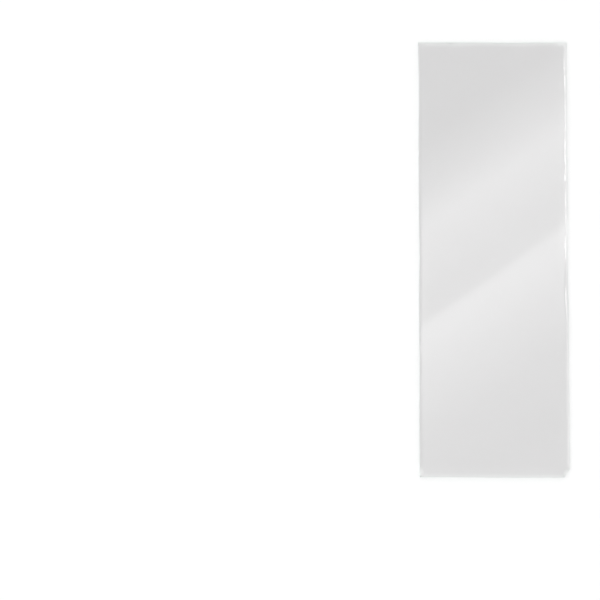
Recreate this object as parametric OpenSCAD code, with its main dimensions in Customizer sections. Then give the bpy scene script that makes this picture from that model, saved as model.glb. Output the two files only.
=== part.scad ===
// Microscope slide with cut edges: one rectangular pane of clear sheet glass.
// It lies on its scored face, with its length along Y, its width along X and its thickness along Z.
// The origin is the centre of the underside.

/* [Pane] */
// Length of the slide
slide_l = 76; // [60:0.5:92]
// Width of the slide
slide_w = 26; // [20:0.5:32]
// Thickness of the glass
slide_t = 1; // [0.8:0.05:1.3]

/* [Score line, under the four cut edges] */
// How far the wheel's crushed line reaches in under the slide
score_w = 0.06; // [0.02:0.01:0.12]
// How far the crushed line reaches up the cut edge
score_h = 0.1; // [0.04:0.01:0.16]

/* [Break curl, where a break runs out into the top face] */
// How far a curl stands out from a straight bevel
curl_bulge = 0.04; // [0.02:0.01:0.05]
// Width of the curl on the left edge, seen from above
left_curl_w = 0.35; // [0.3:0.05:0.8]
// Depth of the curl on the left edge, below the top face
left_curl_d = 0.4; // [0.3:0.05:0.6]
// Width of the curl on the right edge
right_curl_w = 0.6; // [0.3:0.05:0.8]
// Depth of the curl on the right edge
right_curl_d = 0.5; // [0.3:0.05:0.6]
// Width of the curl on the far edge
far_curl_w = 0.75; // [0.3:0.05:0.8]
// Depth of the curl on the far edge
far_curl_d = 0.55; // [0.3:0.05:0.6]
// Width of the curl on the near edge
near_curl_w = 0.45; // [0.3:0.05:0.8]
// Depth of the curl on the near edge
near_curl_d = 0.45; // [0.3:0.05:0.6]

/* [Broken corner, at the right end of the near edge] */
// How much of the near edge the broken corner takes
corner_across = 1; // [0.5:0.1:3]
// How much of the right edge the broken corner takes
corner_along = 1.5; // [0.5:0.1:3]
// Width of the curl along the broken corner
corner_curl_w = 0.4; // [0.3:0.05:0.8]
// Depth of the curl along the broken corner
corner_curl_d = 0.35; // [0.3:0.05:0.6]

/* [Hidden] */

// The glass as it looks on white: clear, with a trace of grey
glass_colour = [0.84, 0.86, 0.86, 0.6];

half_l = slide_l / 2;
half_w = slide_w / 2;

// The four cut edges: the way each one faces, how far it is from the middle, and its curl's width and depth
cut_edges = [
    [0, half_w, right_curl_w, right_curl_d],
    [90, half_l, far_curl_w, far_curl_d],
    [180, half_w, left_curl_w, left_curl_d],
    [270, half_l, near_curl_w, near_curl_d]
];

// The broken corner, in the same form
corner_angle = atan2(-corner_across, corner_along);
corner_reach = cos(corner_angle) * half_w - sin(corner_angle) * (half_l - corner_along);
broken_corner = [corner_angle, corner_reach, corner_curl_w, corner_curl_d];

// Spill carries each cut past the surfaces it crosses, and every cut runs past both ends of its edge
spill = 0.05;
cut_length = slide_l + slide_w;

// The circle that a curl follows: it passes through the curl's two ends and bulges between them
function chord(w, d) = norm([w, d]);
function curl_radius(w, d) = (pow(chord(w, d) / 2, 2) + pow(curl_bulge, 2)) / (2 * curl_bulge);
function curl_centre(w, d) =
    [-w / 2, slide_t - d / 2] - (curl_radius(w, d) - curl_bulge) * [d, w] / chord(w, d);

// Plan of the pane, with its corner broken off
module outline() {
    polygon([
        [-half_w, -half_l],
        [half_w - corner_across, -half_l],
        [half_w, -half_l + corner_along],
        [half_w, half_l],
        [-half_w, half_l]
    ]);
}

// What a curl takes from above, as a section across the edge: X points out of the slide, and Y is height
module curl_waste(w, d) {
    difference() {
        translate([-w - spill, slide_t - d - spill])
            square([w + 2 * spill, d + 2 * spill]);
        translate(curl_centre(w, d))
            circle(r = curl_radius(w, d), $fn = 180);
    }
}

// What the scoring wheel takes from below, in the same section
module score_waste() {
    polygon([
        [-2 * score_w, -score_h],
        [score_w, -score_h],
        [score_w, 2 * score_h]
    ]);
}

// Runs a section along the edge that faces this way, at this distance from the middle
module along_edge(angle, reach) {
    rotate([0, 0, angle])
        translate([reach, 0, 0])
            rotate([90, 0, 0])
                linear_extrude(cut_length, center = true)
                    children();
}

module glass_slide() {
    color(glass_colour)
        difference() {
            linear_extrude(slide_t)
                outline();
            for (edge = concat(cut_edges, [broken_corner]))
                along_edge(edge[0], edge[1])
                    curl_waste(edge[2], edge[3]);
            for (edge = cut_edges)
                along_edge(edge[0], edge[1])
                    score_waste();
        }
}

glass_slide();
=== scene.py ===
"""A microscope slide: one pane of clear sheet glass with cut edges, on a white table under soft light.

The pane is built in the CAD frame, in metres. Its two faces are flat. Its edges are breaks: the crushed
line of the scoring wheel at the bottom, an upright break above it, and a curl that runs out into the top
face. Every break is a little different, wavers along its length and has lost small chips.
"""

import math
import random

import bmesh
import bpy
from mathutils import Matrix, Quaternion, Vector, noise
from mathutils.geometry import delaunay_2d_cdt


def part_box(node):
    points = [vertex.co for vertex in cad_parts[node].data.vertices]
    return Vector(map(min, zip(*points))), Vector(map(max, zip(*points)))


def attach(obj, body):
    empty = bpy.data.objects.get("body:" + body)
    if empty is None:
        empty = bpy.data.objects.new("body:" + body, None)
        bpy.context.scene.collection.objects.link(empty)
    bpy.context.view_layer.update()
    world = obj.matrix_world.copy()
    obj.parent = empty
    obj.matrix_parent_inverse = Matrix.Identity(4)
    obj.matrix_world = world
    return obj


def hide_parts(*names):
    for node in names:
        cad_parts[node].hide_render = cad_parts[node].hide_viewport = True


NODE = "glass_slide"
MM = 0.001
WHITE = (1.0, 1.0, 1.0, 1.0)

# The five breaks, anticlockwise from the near left corner: how wide the curl is seen from above, how deep
# it starts under the top face, how much light is painted onto the glass at the outline as a paler tint,
# from 0 to 1, standing in for the bright band that light makes along a break, and how far in that painted
# light fades away
BREAKS = {
    "near": (0.45 * MM, 0.45 * MM, 0.4, 1.3 * MM),
    "corner": (0.4 * MM, 0.35 * MM, 0.5, 0.5 * MM),
    "right": (0.6 * MM, 0.5 * MM, 0.6, 1.1 * MM),
    "far": (0.75 * MM, 0.55 * MM, 0.8, 0.75 * MM),
    "left": (0.35 * MM, 0.4 * MM, 0.5, 0.3 * MM),
}
CURL_BULGE = 0.04 * MM

# Two neighbouring curls become one shape over this length beside their corner
CORNER_BLEND = 1.2 * MM

# The corner that broke off, at the right end of the near edge
CORNER_ACROSS = 1.0 * MM
CORNER_ALONG = 1.5 * MM

# The crushed line under the edge
SCORE_W = 0.06 * MM
SCORE_H = 0.1 * MM

# Points along a break, and rows of points up its crushed line, its upright face and its curl
STEP = 0.08 * MM
SCORE_ROWS = 2
UPRIGHT_ROWS = 4
CURL_ROWS = 8

# Each way that a break wavers along the outline: the length of its waves, and the layer of noise that
# they come from
WAVES = {
    "outline": (10 * MM, 25.5),
    "curl_width": (5 * MM, 1.5),
    "fine_curl_width": (2 * MM, 2.5),
    "curl_depth": (7 * MM, 3.5),
    "crush": (0.5 * MM, 4.5),
    "ripple": (0.9 * MM, 5.5),
    "hackle": (0.2 * MM, 6.5),
}

# Most of the noise lies between -0.6 and 0.6, and this brings that to about -1 to 1
NOISE_GAIN = 1.6

# How strong those waves are, as shares of a size
CURL_WIDTH_WANDER = 0.22
FINE_CURL_WIDTH_WANDER = 0.05
CURL_DEPTH_WANDER = 0.15
CRUSH_WANDER = 0.6

# How strong they are as depths that the face of a break lies in. The outline's swings to both sides of its
# level, and where that would bring it out past the pane's full size it stays at full size. The ripple leans
# as it rises.
OUTLINE_WANDER = 0.13 * MM
OUTLINE_LEVEL = 0.35
OUTLINE_SWING = 0.5
RIPPLE = 0.012 * MM
RIPPLE_LEAN = 0.6
HACKLE = 0.006 * MM

# Small chips lost from the lower and upper arris: how far apart they are, and how far the largest reach
LOWER_CHIPS = (2.2 * MM, 0.3 * MM)
UPPER_CHIPS = (6.5 * MM, 0.35 * MM)

# A chip's smallest and largest size: the root of its reach as a share of the largest chip's, and its rise
# and depth as shares of its own reach
CHIP_ROOTS = (0.3, 1)
CHIP_RISES = (0.5, 0.9)
CHIP_DEPTHS = (0.25, 0.45)
CHIP_SEED = 7

# The chips that show most, on the upper arris: the break, the share along it, and the chip's reach, rise
# and depth
MARKS = (
    ("corner", 0.6, 1.0 * MM, 0.5 * MM, 0.3 * MM),
    ("far", 0.04, 0.6 * MM, 0.35 * MM, 0.25 * MM),
    ("far", 0.78, 0.5 * MM, 0.6 * MM, 0.25 * MM),
    ("left", 0.99, 0.9 * MM, 0.6 * MM, 0.25 * MM),
)

# Painted highlights and painted shade on the rim: patches tinted paler or clearer than the rest of their
# break, where light would brighten or darken it: the break, the share along it, how far the patch reaches
# along the outline and inwards, and how much light is painted in its middle, from 0 to 1
PAINTED_LIGHT_PATCHES = (
    ("corner", 0.5, 0.9 * MM, 0.9 * MM, 1.0),
    ("right", 0.55, 7.5 * MM, 1.3 * MM, 1.0),
    ("far", 0.035, 1.1 * MM, 1.2 * MM, 1.0),
    ("far", 0.78, 0.8 * MM, 1.2 * MM, 0.0),
    ("left", 0.99, 1.6 * MM, 1.2 * MM, 1.0),
)

# The flat faces grow coarser inwards. Rings follow the breaks, and frames follow the box: distance inside
# the breaks or the box, and spacing of the points there.
FACE_RINGS = ((0.12 * MM, 0.16 * MM), (0.32 * MM, 0.32 * MM), (0.7 * MM, 0.64 * MM))
FACE_FRAMES = ((2.0 * MM, 1.3 * MM), (3.6 * MM, 2.2 * MM), (6.2 * MM, 3.6 * MM), (10.0 * MM, 6.0 * MM))

# Room for the crushed line to waver in, before the underside's rings
UNDERSIDE_ROOM = 0.1 * MM

# The triangulation of the faces: only the triangles inside the rim are wanted, and points closer than this,
# in millimetres, are one point
INSIDE_ONLY = 1
SAME_POINT = 1e-6

# The glass: its tint on the polished faces, the paler tint that paints light onto the breaks, and the green
# that a long way through it shows. The tint of the faces has a trace less green, which keeps the pane grey
# from above.
GLASS_IOR = 1.52
FACE_TINT = (0.824, 0.82, 0.822, 1)
PAINTED_LIGHT_TINT = (0.98, 0.98, 0.98, 1)
DEPTH_TINT = (0.55, 0.8, 0.7, 1)
DEPTH_DENSITY = 7.0

# Its finish: how frosted the breaks are, the scales of its noise per metre, the range of noise that smears
# show in, and the share of each axis that the hackle's noise follows, so that it is drawn out upwards
BREAK_FROST = 0.22
SMEAR_SCALE = 70.0
SMEAR_RANGE = (0.35, 0.75)
LARGEST_SMEAR = 0.02
WAVE_SCALE = 45.0
WAVE_HEIGHT = 0.01 * MM
HACKLE_SCALE = 9000.0
HACKLE_DRAWN = (1.0, 1.0, 0.15)
HACKLE_HEIGHT = 0.02 * MM
HACKLE_STRENGTH = 0.5

# Camera: from above with a long lens, tilted a little towards the near side. The middle of its picture is
# this point beside the slide, and the picture is this wide there.
CAMERA_AIM = Vector((-33.6, -7.265, 0.7)) * MM
CAMERA_TILT = math.radians(5.8)
FRAME_WIDTH = 103.95 * MM
LENS = 200.0
SENSOR = 36.0
CAMERA_DISTANCE = FRAME_WIDTH * LENS / SENSOR
CAMERA_PLACE = CAMERA_AIM + CAMERA_DISTANCE * Vector((0, -math.sin(CAMERA_TILT), math.cos(CAMERA_TILT)))

# Light is followed far enough to find its way out of the glass, which mirrors it inside many times
BOUNCES = 160

# The table: its own white, which the light and a glow seen by the camera bring up to full white, and where
# it turns into plain white around the slide
TABLE_ALBEDO = 0.6
TABLE_SIZE = 8.0
TABLE_GAP = 0.03 * MM
SHADOW_RADIUS = 0.075
PLAIN_RADIUS = 0.16

# The key light, high on the left
KEY_PLACE = Vector((-0.55, 0.15, 1.05))
KEY_SIZE = 0.8
KEY_POWER = 1.6

# The softbox overhead is striped, so that the slide mirrors slanting bands of light. Its light across the
# bands: distance on the slide from its middle, and strength.
SOFTBOX_HEIGHT = 1.16
SOFTBOX_SIZE = 0.9
BAND_TILT = math.radians(34.6)
BANDS = (
    (-60 * MM, 0.75),
    (-28 * MM, 0.75),
    (-20 * MM, 1.0),
    (-12 * MM, 1.65),
    (-5 * MM, 2.3),
    (-3 * MM, 2.35),
    (-1.6 * MM, 1.45),
    (1 * MM, 1.4),
    (6 * MM, 1.75),
    (11 * MM, 2.1),
    (17 * MM, 1.15),
    (24 * MM, 0.35),
    (60 * MM, 0.35),
)

# A plane's own coordinates run as far as this from its middle. A soft panel is brightest up to its core,
# and fades from there to the rim.
PLANE_RIM = 0.5
PANEL_CORE = 0.1

# Soft panels that only the glass shows: name, place, width, length, roll in degrees, and strength in the
# middle
PANELS = (
    ("edge_panel", (1.05, 0.18, 0.38), 0.17, 0.3, 0, 13.0),
    ("back_panel", (-0.77, 0.77, 0.51), 0.2, 0.8, 35, 1.4),
    ("front_panel", (0.82, -0.82, 0.31), 0.16, 0.6, 35, 1.2),
)


class Break:
    """One broken edge of the pane, followed anticlockwise as seen from above."""

    def __init__(self, name, start, end):
        width, depth, self.paleness, self.fade = BREAKS[name]
        self.name = name
        self.start = start
        self.length = (end - start).length
        self.along = (end - start).normalized()
        self.inward = Vector((-self.along.y, self.along.x))
        self.curl = Vector((width, depth))
        self.count = round(self.length / STEP)

    def place(self, share):
        """The point of the sharp outline at this share of the break."""
        return self.start + self.along * (self.length * share)

    def joined_curl(self, share):
        """The curl's width and depth here, blended into the neighbours' curls at both corners."""
        from_start = min(share * self.length / CORNER_BLEND, 1)
        from_end = min((1 - share) * self.length / CORNER_BLEND, 1)
        curl = self.start_curl.lerp(self.curl, ease(from_start))
        return self.end_curl.lerp(curl, ease(from_end))


def ease(share):
    """A smooth step from 0 to 1."""
    return share * share * (3 - 2 * share)


def wander(place, kind, lift=0.0):
    """Smooth noise along the outline, mostly from -1 to 1, for one kind of wave."""
    size, layer = WAVES[kind]
    return NOISE_GAIN * noise.noise(Vector((place.x / size, place.y / size, layer + lift)))


def broken_edges(low, high):
    """The five breaks round the pane, each knowing how it meets its neighbours."""
    corners = [
        Vector((low.x, low.y)),
        Vector((high.x - CORNER_ACROSS, low.y)),
        Vector((high.x, low.y + CORNER_ALONG)),
        Vector((high.x, high.y)),
        Vector((low.x, high.y)),
    ]
    ends = corners[1:] + corners[:1]
    breaks = [Break(name, start, end) for name, start, end in zip(BREAKS, corners, ends)]
    for before, after in zip(breaks, breaks[1:] + breaks[:1]):
        turn = before.along.angle(after.along)
        before.end_mitre = math.tan(turn / 2)
        before.end_curl = (before.curl + after.curl) / 2
        after.start_mitre = before.end_mitre
        after.start_curl = before.end_curl
    return breaks


def scatter_chips(breaks, thickness):
    """Chips as (place, height, reach, rise, depth): the marks, and more at random along both arrises."""
    draw = random.Random(CHIP_SEED)
    named = {edge.name: edge for edge in breaks}
    chips = [(named[name].place(share), thickness, *size) for name, share, *size in MARKS]
    for edge in breaks:
        for height, (every, largest) in ((0.0, LOWER_CHIPS), (thickness, UPPER_CHIPS)):
            for _ in range(round(edge.length / every)):
                reach = draw.uniform(*CHIP_ROOTS) ** 2 * largest
                rise = reach * draw.uniform(*CHIP_RISES)
                depth = reach * draw.uniform(*CHIP_DEPTHS)
                chips.append((edge.place(draw.random()), height, reach, rise, depth))
    return chips


def chipped(place, height, chips):
    """How deep the deepest chip reaches in at this place and height."""
    deepest = 0.0
    for centre, middle, reach, rise, depth in chips:
        left = 1 - ((place - centre).length / reach) ** 2 - ((height - middle) / rise) ** 2
        if left > 0:
            deepest = max(deepest, depth * math.sqrt(left))
    return deepest


def smooth_section(place, curl, thickness):
    """A break's section without its relief, from the underside up, as (distance in, height)."""
    wide = CURL_WIDTH_WANDER * wander(place, "curl_width")
    wide += FINE_CURL_WIDTH_WANDER * wander(place, "fine_curl_width")
    width = curl.x * (1 + wide)
    depth = curl.y * (1 + CURL_DEPTH_WANDER * wander(place, "curl_depth"))
    crush = 1 + CRUSH_WANDER * wander(place, "crush")
    foot = SCORE_H * crush
    brow = thickness - depth

    rows = []
    for row in range(SCORE_ROWS + 1):
        share = row / SCORE_ROWS
        rows.append((SCORE_W * crush * (1 - share), foot * share))
    for row in range(1, UPRIGHT_ROWS + 1):
        rows.append((0.0, foot + (brow - foot) * row / UPRIGHT_ROWS))
    slope = Vector((width, depth))
    out = Vector((-depth, width)) / slope.length
    for row in range(1, CURL_ROWS + 1):
        share = row / CURL_ROWS
        point = slope * share + out * (CURL_BULGE * 4 * share * (1 - share))
        rows.append((point.x, brow + point.y))
    return rows


def section(place, curl, thickness, chips):
    """A break's section at a place, with the outline's wander, ripple, hackle and chips in it."""
    base = OUTLINE_WANDER * max(0, OUTLINE_LEVEL + OUTLINE_SWING * wander(place, "outline"))
    hackle = HACKLE * (1 + wander(place, "hackle"))
    near = [chip for chip in chips if (chip[0] - place).length < chip[2]]
    rows = []
    for inset, height in smooth_section(place, curl, thickness):
        slanted = place + Vector((height, height)) * RIPPLE_LEAN
        ripple = RIPPLE * (1 + wander(slanted, "ripple", height / MM))
        relief = (ripple + hackle) * (1 - height / thickness)
        rows.append((inset + base + relief + chipped(place, height, near), height))
    rows[-1] = (rows[-1][0], thickness)
    return rows


def ring_points(edge, insets):
    """The points of one ring along a break, at these distances inside it. The last distance is at the
    corner where the next break starts, so it gets no point here."""
    first = insets[0] * edge.start_mitre
    last = edge.length - insets[-1] * edge.end_mitre
    points = []
    for number, inset in enumerate(insets[:-1]):
        share = number / (len(insets) - 1)
        points.append(edge.start + edge.along * (first + (last - first) * share) + edge.inward * inset)
    return points


def break_rings(breaks, thickness, chips):
    """Rings of points round the pane, from the underside up to the top face, and the last ring's deepest
    inset."""
    rings = []
    deepest = 0.0
    for edge in breaks:
        sections = []
        for number in range(edge.count + 1):
            share = number / edge.count
            sections.append(section(edge.place(share), edge.joined_curl(share), thickness, chips))
        for row, column in enumerate(zip(*sections)):
            if len(rings) == row:
                rings.append([])
            heights = [height for _, height in column[:-1]]
            flat = ring_points(edge, [inset for inset, _ in column])
            rings[row] += [Vector((p.x, p.y, z)) for p, z in zip(flat, heights)]
        deepest = max([deepest] + [column[-1][0] for column in sections])
    return rings, deepest


def face_points(breaks, rim_inset, low, high):
    """Points inside a flat face: rings that follow the breaks, then plain frames, coarser and coarser."""
    points = []
    for inside, spacing in FACE_RINGS:
        for edge in breaks:
            count = max(2, round(edge.length / spacing))
            points += ring_points(edge, [rim_inset + inside] * (count + 1))
    for inside, spacing in FACE_FRAMES:
        frame_low = low.xy + Vector((inside, inside))
        frame_size = high.xy - low.xy - 2 * Vector((inside, inside))
        across = round(frame_size.x / spacing)
        along = round(frame_size.y / spacing)
        for i in range(across + 1):
            for j in range(along + 1):
                if i in (0, across) or j in (0, along):
                    points.append(frame_low + frame_size * Vector((i / across, j / along)))
    return points


def fill_face(mesh, rim, inner, facing_up):
    """Closes a ring of the mesh with a flat face of triangles that also uses the inner points."""
    height = rim[0].co.z
    flat = [v.co.xy / MM for v in rim] + [p / MM for p in inner]
    bounds = [(i, (i + 1) % len(rim)) for i in range(len(rim))]
    points, _, triangles, sources, _, _ = delaunay_2d_cdt(flat, bounds, [], INSIDE_ONLY, SAME_POINT)
    corners = []
    for point, source in zip(points, sources):
        if source and min(source) < len(rim):
            corners.append(rim[min(source)])
        else:
            corners.append(mesh.verts.new((point.x * MM, point.y * MM, height)))
    faces = []
    for triangle in triangles:
        order = triangle if facing_up else triangle[::-1]
        faces.append(mesh.faces.new([corners[i] for i in order]))
    return faces


def fading(share):
    """1 up to a share of 0, and 0 from a share of 1 on, with a smooth step between them."""
    return 1 - ease(min(max(share, 0), 1))


def paleness(place, breaks):
    """How much light is painted onto the glass at a place, as a paler tint: as much as the nearest break
    has at the outline, with that break's patches of painted highlight and shade, and none farther in."""
    insides = [edge.inward.dot(place - edge.start) for edge in breaks]
    inside, edge = min(zip(insides, breaks), key=lambda pair: pair[0])
    pale = edge.paleness * fading(inside / edge.fade)
    # Painted highlights and painted shade: each patch pulls the painted light towards its middle's level
    for name, share, along, inwards, middle in PAINTED_LIGHT_PATCHES:
        if name == edge.name:
            offset = Vector(((place - edge.place(share)).dot(edge.along) / along, inside / inwards))
            pale += (middle - pale) * fading(offset.length)
    return pale


def build_pane(low, high):
    """The pane as one closed mesh, with two attributes that its glass reads. "broken" goes from 1 at a
    break's foot to 0 at its top. The second holds painted light: how much paler the glass is tinted where
    light would brighten the rim. Both are 0 on the flat faces, apart from the rim of the underside, which
    carries the painted light too."""
    thickness = high.z - low.z
    breaks = broken_edges(low, high)
    rings, deepest = break_rings(breaks, thickness, scatter_chips(breaks, thickness))
    mesh = bmesh.new()
    broken = mesh.faces.layers.float.new("broken")
    pale = mesh.loops.layers.float.new("pale")
    rows = [[mesh.verts.new(point) for point in ring] for ring in rings]
    around = len(rows[0])
    for row, (lower, upper) in enumerate(zip(rows, rows[1:])):
        for i in range(around):
            j = (i + 1) % around
            face = mesh.faces.new((lower[i], lower[j], upper[j], upper[i]))
            face.smooth = True
            face[broken] = 1 - row / (len(rows) - 2)
    fill_face(mesh, rows[0], face_points(breaks, SCORE_W + UNDERSIDE_ROOM, low, high), False)
    # Painted light: the breaks and the underside's rim get a paler tint, standing in for the bright bands
    # that light makes along the outline
    for face in mesh.faces:
        for loop in face.loops:
            loop[pale] = paleness(loop.vert.co.xy, breaks)
    fill_face(mesh, rows[-1], face_points(breaks, deepest, low, high), True)
    for ring in (rows[0], rows[SCORE_ROWS], rows[-1]):
        for i in range(around):
            mesh.edges.get((ring[i - 1], ring[i])).smooth = False
    return linked_object("glass_pane", mesh)


def linked_object(name, mesh):
    """Turns the edited mesh into an object of the scene."""
    data = bpy.data.meshes.new(name)
    mesh.to_mesh(data)
    mesh.free()
    made = bpy.data.objects.new(name, data)
    bpy.context.scene.collection.objects.link(made)
    return made


def add_node(tree, kind, inputs=None, **settings):
    """A shader node with its settings, and its inputs set to a value or linked from a socket."""
    node = tree.nodes.new("ShaderNode" + kind)
    for name, value in settings.items():
        setattr(node, name, value)
    for name, value in (inputs or {}).items():
        if isinstance(value, bpy.types.NodeSocket):
            tree.links.new(value, node.inputs[name])
        else:
            node.inputs[name].default_value = value
    return node


def new_material(name):
    material = bpy.data.materials.new(name)
    material.use_nodes = True
    material.node_tree.nodes.clear()
    return material, material.node_tree


def glass_colour(tree):
    """A trace of grey on the polished faces, and less of it where light is painted onto the breaks as a
    paler tint.
    """
    pale = add_node(tree, "Attribute", attribute_name="pale").outputs["Fac"]
    # Painted light: the glass takes the paler tint where light is painted onto the rim
    mixed = add_node(tree, "MixRGB", {"Fac": pale, "Color1": FACE_TINT, "Color2": PAINTED_LIGHT_TINT})
    return mixed.outputs["Color"]


def glass_roughness(tree, place, broken):
    """Polished, with the faintest smears, and lightly frosted on the breaks."""
    smears = add_node(
        tree, "TexNoise", {"Vector": place, "Scale": SMEAR_SCALE, "Detail": 5.0, "Roughness": 0.6}
    ).outputs["Fac"]
    clean, smeared = SMEAR_RANGE
    polish = add_node(
        tree,
        "MapRange",
        {"Value": smears, "From Min": clean, "From Max": smeared, "To Max": LARGEST_SMEAR},
    ).outputs["Result"]
    frost = add_node(tree, "Math", {0: broken, 1: BREAK_FROST}, operation="MULTIPLY").outputs["Value"]
    return add_node(tree, "Math", {0: polish, 1: frost}, operation="ADD").outputs["Value"]


def glass_relief(tree, place, broken):
    """The slow waves of drawn sheet glass, and upright streaks of hackle on the breaks."""
    waves = add_node(tree, "TexNoise", {"Vector": place, "Scale": WAVE_SCALE, "Detail": 1.0}).outputs["Fac"]
    wavy = add_node(tree, "Bump", {"Height": waves, "Distance": WAVE_HEIGHT}).outputs["Normal"]
    drawn = add_node(tree, "VectorMath", {0: place, 1: HACKLE_DRAWN}, operation="MULTIPLY")
    hackle = add_node(
        tree, "TexNoise", {"Vector": drawn.outputs["Vector"], "Scale": HACKLE_SCALE, "Detail": 3.0}
    )
    strength = add_node(tree, "Math", {0: broken, 1: HACKLE_STRENGTH}, operation="MULTIPLY")
    return add_node(
        tree,
        "Bump",
        {
            "Height": hackle.outputs["Fac"],
            "Strength": strength.outputs["Value"],
            "Distance": HACKLE_HEIGHT,
            "Normal": wavy,
        },
    ).outputs["Normal"]


def clear_glass():
    """Clear glass: polished flat faces, and rippled, faintly frosted breaks with light painted onto them as
    a paler tint.
    """
    material, tree = new_material("clear_glass")
    place = add_node(tree, "TexCoord").outputs["Object"]
    broken = add_node(tree, "Attribute", attribute_name="broken").outputs["Fac"]
    glass = add_node(
        tree,
        "BsdfPrincipled",
        {
            "Base Color": glass_colour(tree),
            "Roughness": glass_roughness(tree, place, broken),
            "Normal": glass_relief(tree, place, broken),
            "IOR": GLASS_IOR,
            "Transmission Weight": 1.0,
        },
    )
    depth = add_node(tree, "VolumeAbsorption", {"Color": DEPTH_TINT, "Density": DEPTH_DENSITY})
    add_node(tree, "OutputMaterial", {"Surface": glass.outputs["BSDF"], "Volume": depth.outputs["Volume"]})
    return material


def seen_directly(tree):
    """1 for rays that show the background itself: those of the camera, and those that glass bends or
    mirrors. Light that has already bounced off the table doesn't count."""
    path = add_node(tree, "LightPath")
    seen = path.outputs["Is Camera Ray"]
    for name in ("Is Glossy Ray", "Is Transmission Ray"):
        either = add_node(tree, "Math", {0: seen, 1: path.outputs[name]}, operation="MAXIMUM")
        seen = either.outputs["Value"]
    return add_node(
        tree, "Math", {0: seen, 1: path.outputs["Diffuse Depth"]}, operation="SUBTRACT", use_clamp=True
    ).outputs["Value"]


def white_table(centre):
    """Matt white near the slide, where it shows the shadow, and plain white farther out."""
    material, tree = new_material("white_table")
    place = add_node(tree, "TexCoord").outputs["Object"]
    away = add_node(
        tree, "VectorMath", {0: place, 1: (centre.x, centre.y, 0)}, operation="DISTANCE"
    ).outputs["Value"]
    farther = add_node(
        tree,
        "MapRange",
        {"Value": away, "From Min": SHADOW_RADIUS, "From Max": PLAIN_RADIUS},
        interpolation_type="SMOOTHSTEP",
    ).outputs["Result"]
    seen = seen_directly(tree)
    plain = add_node(tree, "Math", {0: farther, 1: seen}, operation="MULTIPLY").outputs["Value"]
    lift = add_node(tree, "Math", {0: seen, 1: 1 - TABLE_ALBEDO}, operation="MULTIPLY").outputs["Value"]
    matt = add_node(tree, "BsdfDiffuse", {"Color": (TABLE_ALBEDO, TABLE_ALBEDO, TABLE_ALBEDO, 1)})
    lifted = add_node(tree, "Emission", {"Color": WHITE, "Strength": lift})
    near = add_node(tree, "AddShader", {0: matt.outputs["BSDF"], 1: lifted.outputs["Emission"]})
    white = add_node(tree, "Emission", {"Color": WHITE, "Strength": 1.0})
    mixed = add_node(tree, "MixShader", {0: plain, 1: near.outputs["Shader"], 2: white.outputs["Emission"]})
    add_node(tree, "OutputMaterial", {"Surface": mixed.outputs["Shader"]})
    return material


def glowing(name, level, colour=WHITE):
    """A material that only gives light. Its level and its colour are values, or functions that make them in
    its node tree."""
    material, tree = new_material(name)
    strength = level(tree) if callable(level) else level
    shade = colour(tree) if callable(colour) else colour
    glow = add_node(tree, "Emission", {"Color": shade, "Strength": strength})
    add_node(tree, "OutputMaterial", {"Surface": glow.outputs["Emission"]})
    return material


def staged_plane(name, width, length, material):
    """A flat rectangle that isn't part of the object, centred on its own origin and facing up."""
    mesh = bmesh.new()
    bmesh.ops.create_grid(mesh, x_segments=1, y_segments=1, size=PLANE_RIM)
    plane = linked_object(name, mesh)
    plane.scale = (width, length, 1)
    plane.data.materials.append(material)
    return plane


def soft_panel(name, place, width, length, roll, strength):
    """A light that faces the slide and fades into the white room at its rim."""

    def level(tree):
        across = add_node(tree, "TexCoord").outputs["Object"]
        away = add_node(tree, "VectorMath", {0: across}, operation="LENGTH").outputs["Value"]
        fade = {"From Min": PANEL_CORE, "From Max": PLANE_RIM, "To Min": strength, "To Max": 1.0}
        return add_node(
            tree, "MapRange", {"Value": away, **fade}, interpolation_type="SMOOTHSTEP"
        ).outputs["Result"]

    panel = staged_plane(name, width, length, glowing(name, level))
    panel.location = place
    facing = (-place).to_track_quat("Z", "Y")
    panel.rotation_euler = (facing @ Quaternion((0, 0, 1), roll)).to_euler()
    panel.visible_camera = False
    panel.visible_diffuse = False
    panel.visible_shadow = False


def striped_softbox(top):
    """The softbox overhead, placed so that the camera sees its middle mirrored in the slide's middle."""
    reach = (SOFTBOX_HEIGHT - top) / (CAMERA_PLACE.z - top)
    scale = (1 + reach) / SOFTBOX_SIZE
    lowest, highest = BANDS[0][0], BANDS[-1][0]
    brightest = max(strength for _, strength in BANDS)

    def bands(tree):
        place = add_node(tree, "TexCoord").outputs["Object"]
        across = (-math.sin(BAND_TILT), math.cos(BAND_TILT), 0)
        away = add_node(tree, "VectorMath", {0: place, 1: across}, operation="DOT_PRODUCT").outputs["Value"]
        share = add_node(
            tree, "MapRange", {"Value": away, "From Min": lowest * scale, "From Max": highest * scale}
        ).outputs["Result"]
        ramp = add_node(tree, "ValToRGB", {"Fac": share})
        stops = ramp.color_ramp.elements
        while len(stops) < len(BANDS):
            stops.new(1)
        for stop, (distance, strength) in zip(stops, BANDS):
            stop.position = (distance - lowest) / (highest - lowest)
            stop.color = (strength / brightest,) * 3 + (1,)
        return ramp.outputs["Color"]

    glow = glowing("softbox_bands", brightest, bands)
    softbox = staged_plane("softbox", SOFTBOX_SIZE, SOFTBOX_SIZE, glow)
    softbox.location = (*(-CAMERA_PLACE.xy * reach), SOFTBOX_HEIGHT)
    softbox.visible_shadow = False


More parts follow.
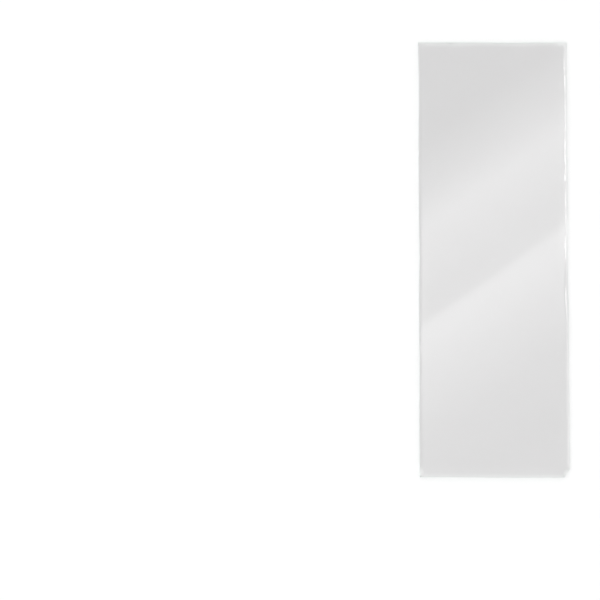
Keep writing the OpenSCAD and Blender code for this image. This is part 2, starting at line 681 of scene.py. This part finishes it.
def key_light():
    key = bpy.data.lights.new("key", "AREA")
    key.size = KEY_SIZE
    key.energy = KEY_POWER
    lamp = bpy.data.objects.new("key", key)
    lamp.location = KEY_PLACE
    lamp.rotation_euler = (-KEY_PLACE).to_track_quat("-Z", "Y").to_euler()
    bpy.context.scene.collection.objects.link(lamp)


def white_room():
    world = bpy.data.worlds.new("white_room")
    world.use_nodes = True
    tree = world.node_tree
    tree.nodes.clear()
    room = add_node(tree, "Background", {"Color": WHITE, "Strength": 1.0})
    add_node(tree, "OutputWorld", {"Surface": room.outputs["Background"]})
    bpy.context.scene.world = world


def place_camera():
    camera = bpy.data.cameras.new("camera")
    camera.lens = LENS
    camera.sensor_width = SENSOR
    holder = bpy.data.objects.new("camera", camera)
    holder.location = CAMERA_PLACE
    holder.rotation_euler = (CAMERA_TILT, 0, 0)
    bpy.context.scene.collection.objects.link(holder)
    bpy.context.scene.camera = holder


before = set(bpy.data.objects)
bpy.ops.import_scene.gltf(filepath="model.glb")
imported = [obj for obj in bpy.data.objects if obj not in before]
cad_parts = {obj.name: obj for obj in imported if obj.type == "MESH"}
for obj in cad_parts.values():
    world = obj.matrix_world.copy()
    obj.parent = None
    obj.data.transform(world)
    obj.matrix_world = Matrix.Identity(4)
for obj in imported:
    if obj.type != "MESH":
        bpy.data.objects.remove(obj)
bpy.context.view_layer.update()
low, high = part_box(NODE)

bpy.context.scene.view_settings.view_transform = "Standard"
cycles = bpy.context.scene.cycles
cycles.max_bounces = BOUNCES
cycles.glossy_bounces = BOUNCES
cycles.transmission_bounces = BOUNCES
# What the glass mirrors past a frosted break is not blurred further
cycles.blur_glossy = 0
place_camera()

pane = build_pane(low, high)
pane.data.materials.append(clear_glass())
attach(pane, "root")
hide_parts(NODE)

floor = staged_plane("floor", TABLE_SIZE, TABLE_SIZE, white_table((low + high) / 2))
floor.location.z = low.z - TABLE_GAP
striped_softbox(high.z)
for name, place, width, length, roll, strength in PANELS:
    soft_panel(name, Vector(place), width, length, math.radians(roll), strength)
key_light()
white_room()
